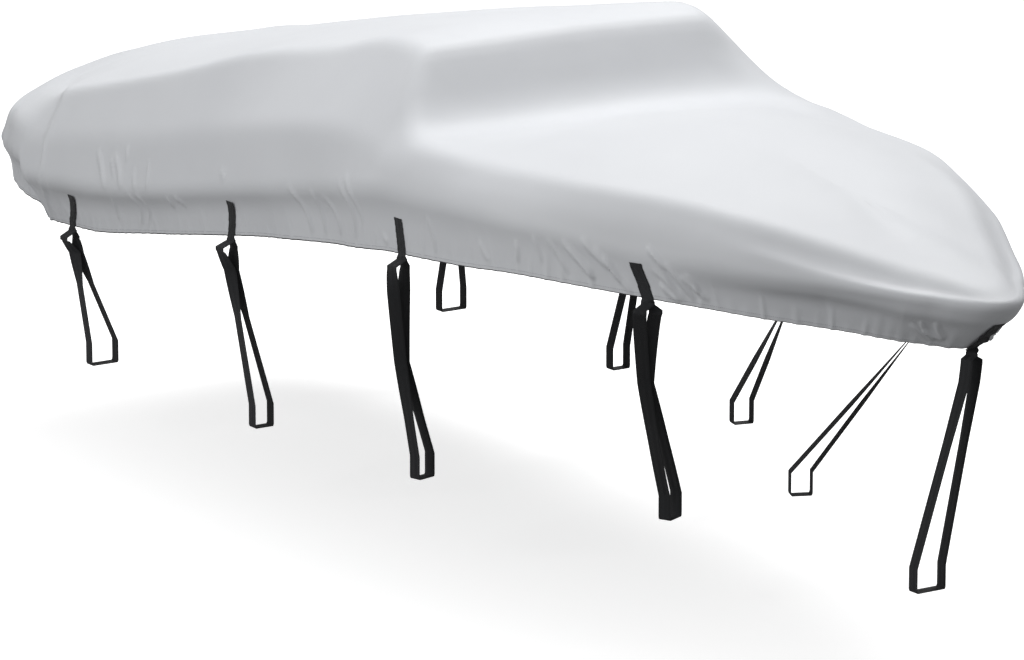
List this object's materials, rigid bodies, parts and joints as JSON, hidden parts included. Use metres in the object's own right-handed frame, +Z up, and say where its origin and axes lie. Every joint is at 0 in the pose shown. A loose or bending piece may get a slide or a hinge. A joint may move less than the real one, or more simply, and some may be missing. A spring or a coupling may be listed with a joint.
{
  "type": "boat cover",
  "caption": "Fitted trailerable cover for a small V-hull runabout, draped over windscreen, foredeck and stern, with webbing tie-downs.",
  "frame": {"origin": "on the underside of the cloth, above the boat's windscreen top, on the centreline", "axes": "+X towards the bow, +Y to port, +Z up"},
  "size_m": [5.7956, 2.1397, 1.7474],
  "materials": {
    "cloth": "coated woven polyester, soft sheen",
    "webbing": "woven black polypropylene webbing, matt"
  },
  "bodies": {
    "root": {"cover": "cloth", "tab_stbd_1": "webbing", "tab_stbd_2": "webbing", "tab_stbd_3": "webbing", "tab_stbd_4": "webbing", "tab_port_1": "webbing", "tab_port_2": "webbing", "tab_port_3": "webbing", "tab_port_4": "webbing", "tab_bow": "webbing", "strap_stbd_1": "webbing", "strap_stbd_2": "webbing", "strap_stbd_3": "webbing", "strap_stbd_4": "webbing", "strap_port_1": "webbing", "strap_port_2": "webbing", "strap_port_3": "webbing", "strap_port_4": "webbing", "strap_bow": "webbing"}
  },
  "joints": []
}
